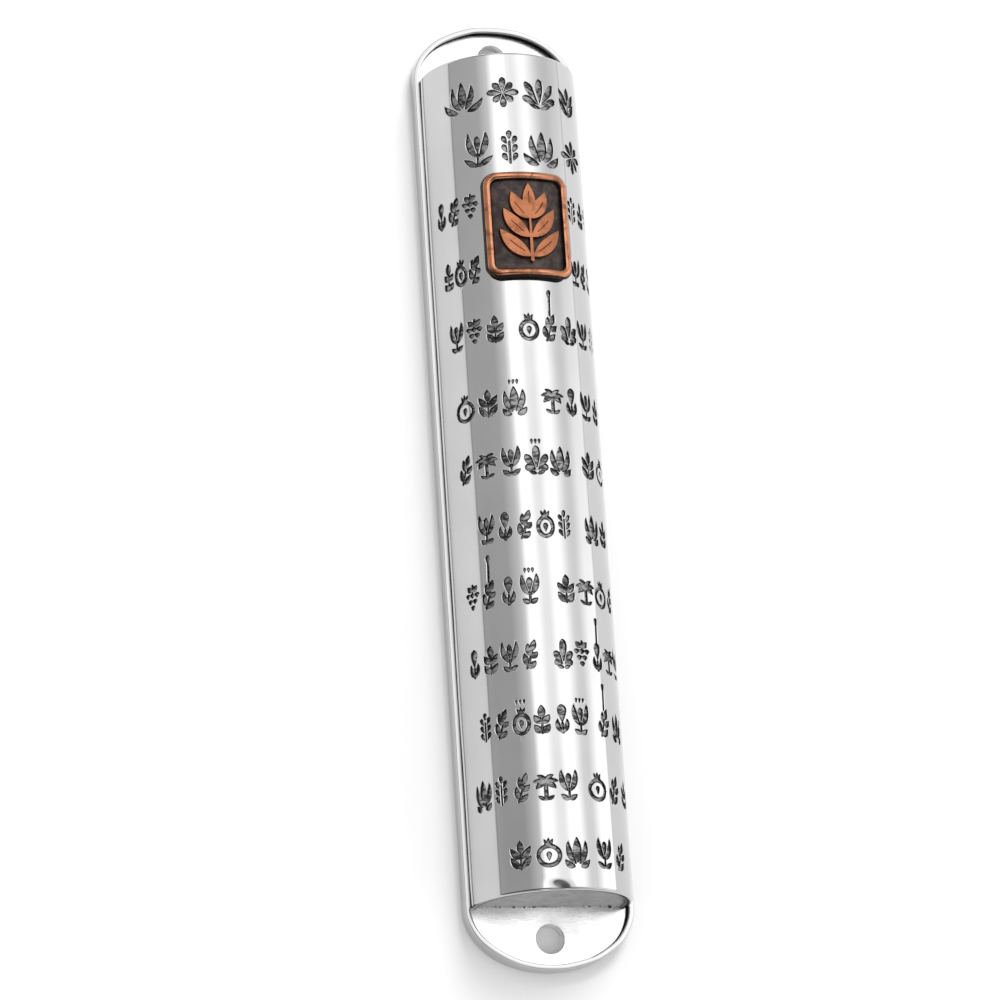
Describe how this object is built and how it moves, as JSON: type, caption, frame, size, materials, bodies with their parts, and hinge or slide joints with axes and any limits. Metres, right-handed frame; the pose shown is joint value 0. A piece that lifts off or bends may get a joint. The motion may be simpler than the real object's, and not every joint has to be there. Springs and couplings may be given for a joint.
{
  "type": "mezuzah case",
  "caption": "Half-round plated metal case on a shallow oval-ended tray with a screw hole at each end, a copper emblem, a press-in back lid and a rolled parchment in a clear sleeve.",
  "frame": {"origin": "middle of the flat back face that lies against the door post", "axes": "+X across the case, +Y towards the end that hangs uppermost, +Z out of the door post through the crown of the arch"},
  "size_m": [0.026, 0.15, 0.0169],
  "materials": {
    "plated_polished": "mirror-polished nickel plate with fine handling scratches",
    "plated_floor": "plated, slightly rough like orange peel",
    "plated_brushed": "plated over file and brush marks",
    "copper": "polished copper",
    "oxidised_copper": "copper blackened by oxidising",
    "spring_steel": "satin",
    "clear_film": "clear and glossy",
    "parchment": "matte skin, cream, slightly mottled"
  },
  "bodies": {
    "case": {"base_plate": "plated_floor", "rim_strip": "plated_polished", "cover_arch": "plated_polished", "cap_top": "plated_brushed", "cap_bottom": "plated_brushed", "emblem_plate": "oxidised_copper", "emblem_frame": "copper", "emblem_sprig": "copper", "emblem_stud_top": "copper", "emblem_stud_bottom": "copper", "stud_washer_top": "spring_steel", "stud_washer_bottom": "spring_steel"},
    "lid": {"back_lid": "plated_brushed"},
    "scroll": {"scroll_sleeve": "clear_film", "parchment_roll": "parchment"}
  },
  "joints": [
    {"name": "lid_lift", "type": "slide", "parent": "case", "child": "lid", "axis": [0, 0, -1], "range_m": [0, 0.06]},
    {"name": "scroll_lift", "type": "slide", "parent": "case", "child": "scroll", "axis": [0, 0, -1], "range_m": [0, 0.03]}
  ],
  "couplings": [
    {"joint": "scroll_lift", "follows": "lid_lift", "ratio": 0.5}
  ]
}
